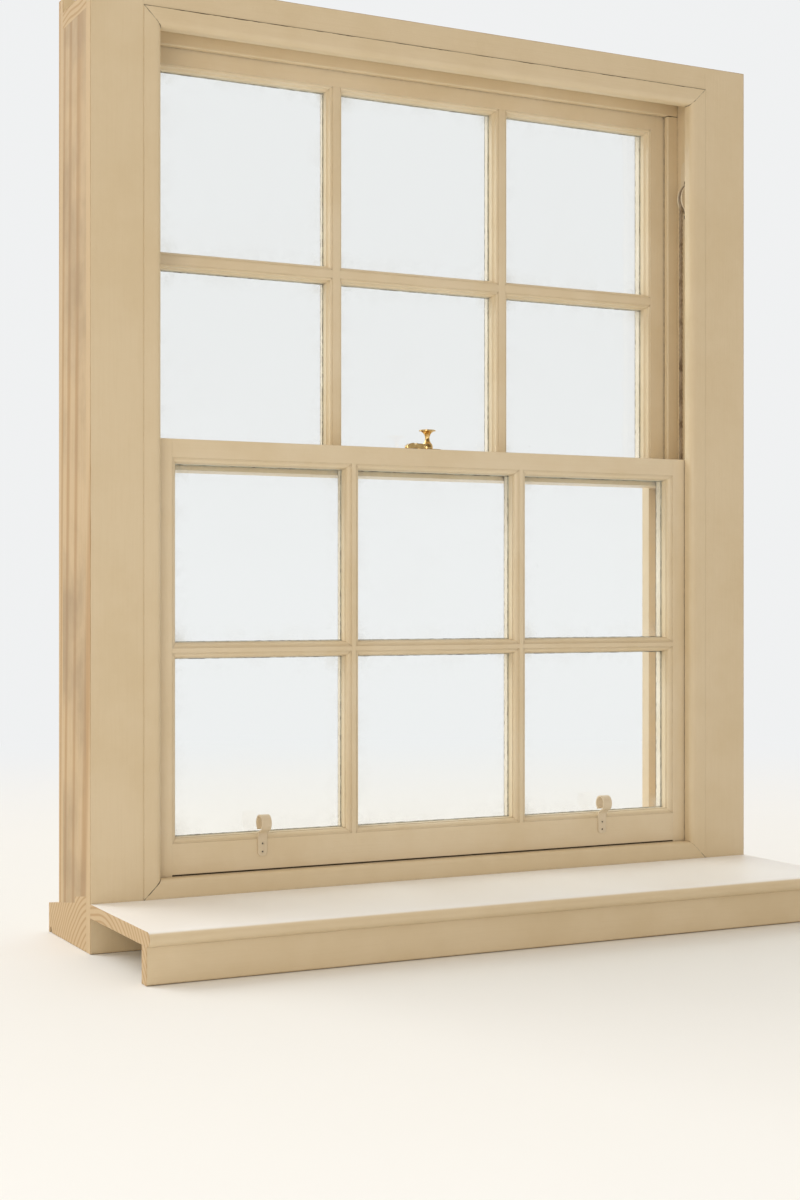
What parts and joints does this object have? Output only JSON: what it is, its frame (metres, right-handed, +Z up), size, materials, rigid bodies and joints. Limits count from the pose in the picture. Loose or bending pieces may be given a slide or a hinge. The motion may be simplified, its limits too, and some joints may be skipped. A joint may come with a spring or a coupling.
{
  "type": "sash window",
  "caption": "Double-hung box sash window with glazed sashes of small panes, cords, weights and pulleys in a hollow frame, brass fastener, hook lifts and window board.",
  "frame": {"origin": "underside of the sill, at the middle of the width, under the middle of the parting bead", "axes": "+X to the right seen from the room, +Y outdoors, +Z up"},
  "size_m": [1.036, 0.418, 1.262],
  "materials": {
    "paint": "aged cream oil paint, satin",
    "board_paint": "off-white gloss paint",
    "bare_wood": "bare old pine",
    "glass": "old drawn glass, slightly wavy",
    "putty": "painted linseed putty",
    "painted_iron": "painted over with cream paint",
    "screw_paint": "steel screws under paint",
    "brass": "polished lacquered brass, worn",
    "iron": "rough grey casting",
    "cord": "twisted cotton, waxed"
  },
  "bodies": {
    "frame": {"sill": "paint", "head": "paint", "apron": "board_paint", "window_board": "board_paint", "inner_lining_head": "paint", "parting_bead_head": "paint", "staff_bead_head": "paint", "staff_bead_bottom": "paint", "pulley_stile_left": "paint", "pulley_stile_right": "paint", "inner_lining_left": "paint", "inner_lining_right": "paint", "outer_lining_left": "paint", "outer_lining_right": "paint", "outer_lining_head": "paint", "parting_bead_left": "paint", "parting_bead_right": "paint", "staff_bead_left": "paint", "staff_bead_right": "paint", "pocket_pieces": "paint", "back_linings": "bare_wood", "parting_slips": "bare_wood", "pulley_cases_left": "painted_iron", "pulley_cases_right": "painted_iron", "pulley_screws": "screw_paint", "sash_cord_lower_left": "cord", "sash_cord_lower_right": "cord", "sash_cord_upper_left": "cord", "sash_cord_upper_right": "cord"},
    "lower_sash": {"lower_stile_left": "paint", "lower_stile_right": "paint", "lower_bottom_rail": "paint", "lower_meeting_rail": "paint", "lower_upright_bars": "paint", "lower_cross_bars": "paint", "lower_glass": "glass", "lower_putty": "putty", "hook_lift_left": "painted_iron", "hook_lift_right": "painted_iron", "fastener_base": "brass", "sash_screws": "screw_paint"},
    "upper_sash": {"upper_stile_left": "paint", "upper_stile_right": "paint", "upper_top_rail": "paint", "upper_meeting_rail": "paint", "upper_upright_bars": "paint", "upper_cross_bars": "paint", "upper_glass": "glass", "upper_putty": "putty", "fastener_keeper": "brass", "keeper_screws": "brass"},
    "fastener_lever": {"fastener_lever": "brass"},
    "weight_lower_left": {"sash_weight_lower_left": "iron"},
    "wheel_lower_left": {"pulley_wheel_lower_left": "painted_iron"},
    "weight_lower_right": {"sash_weight_lower_right": "iron"},
    "wheel_lower_right": {"pulley_wheel_lower_right": "painted_iron"},
    "weight_upper_left": {"sash_weight_upper_left": "iron"},
    "wheel_upper_left": {"pulley_wheel_upper_left": "painted_iron"},
    "weight_upper_right": {"sash_weight_upper_right": "iron"},
    "wheel_upper_right": {"pulley_wheel_upper_right": "painted_iron"}
  },
  "joints": [
    {"name": "lower_sash_slide", "type": "slide", "parent": "frame", "child": "lower_sash", "axis": [0, 0, 1], "range_m": [0, 0.46], "deforming": ["sash_cord_lower_left", "sash_cord_lower_right"]},
    {"name": "upper_sash_slide", "type": "slide", "parent": "frame", "child": "upper_sash", "axis": [0, 0, -1], "range_m": [0, 0.46], "deforming": ["sash_cord_upper_left", "sash_cord_upper_right"]},
    {"name": "fastener_turn", "type": "hinge", "parent": "lower_sash", "child": "fastener_lever", "pos_m": [-0.005, -0.022, 0.668], "axis": [0, 0, -1], "range_deg": [0, 90]},
    {"name": "weight_lower_left_slide", "type": "slide", "parent": "frame", "child": "weight_lower_left", "axis": [0, 0, 1], "range_m": [-0.465, 0.002]},
    {"name": "wheel_lower_left_turn", "type": "hinge", "parent": "frame", "child": "wheel_lower_left", "pos_m": [-0.4555, -0.0285, 1.07], "axis": [0, 1, 0], "range_deg": [-1060, 8]},
    {"name": "weight_lower_right_slide", "type": "slide", "parent": "frame", "child": "weight_lower_right", "axis": [0, 0, 1], "range_m": [-0.465, 0.002]},
    {"name": "wheel_lower_right_turn", "type": "hinge", "parent": "frame", "child": "wheel_lower_right", "pos_m": [0.4555, -0.0285, 1.07], "axis": [0, 1, 0], "range_deg": [-8, 1060]},
    {"name": "weight_upper_left_slide", "type": "slide", "parent": "frame", "child": "weight_upper_left", "axis": [0, 0, 1], "range_m": [-0.002, 0.465]},
    {"name": "wheel_upper_left_turn", "type": "hinge", "parent": "frame", "child": "wheel_upper_left", "pos_m": [-0.4555, 0.0285, 1.07], "axis": [0, 1, 0], "range_deg": [-8, 1060]},
    {"name": "weight_upper_right_slide", "type": "slide", "parent": "frame", "child": "weight_upper_right", "axis": [0, 0, 1], "range_m": [-0.002, 0.465]},
    {"name": "wheel_upper_right_turn", "type": "hinge", "parent": "frame", "child": "wheel_upper_right", "pos_m": [0.4555, 0.0285, 1.07], "axis": [0, 1, 0], "range_deg": [-1060, 8]}
  ],
  "couplings": [
    {"joint": "weight_lower_left_slide", "follows": "lower_sash_slide", "ratio": -1},
    {"joint": "wheel_lower_left_turn", "follows": "lower_sash_slide", "rad_per_m": -40},
    {"joint": "weight_lower_right_slide", "follows": "lower_sash_slide", "ratio": -1},
    {"joint": "wheel_lower_right_turn", "follows": "lower_sash_slide", "rad_per_m": 40},
    {"joint": "weight_upper_left_slide", "follows": "upper_sash_slide", "ratio": 1},
    {"joint": "wheel_upper_left_turn", "follows": "upper_sash_slide", "rad_per_m": 40},
    {"joint": "weight_upper_right_slide", "follows": "upper_sash_slide", "ratio": 1},
    {"joint": "wheel_upper_right_turn", "follows": "upper_sash_slide", "rad_per_m": -40}
  ]
}
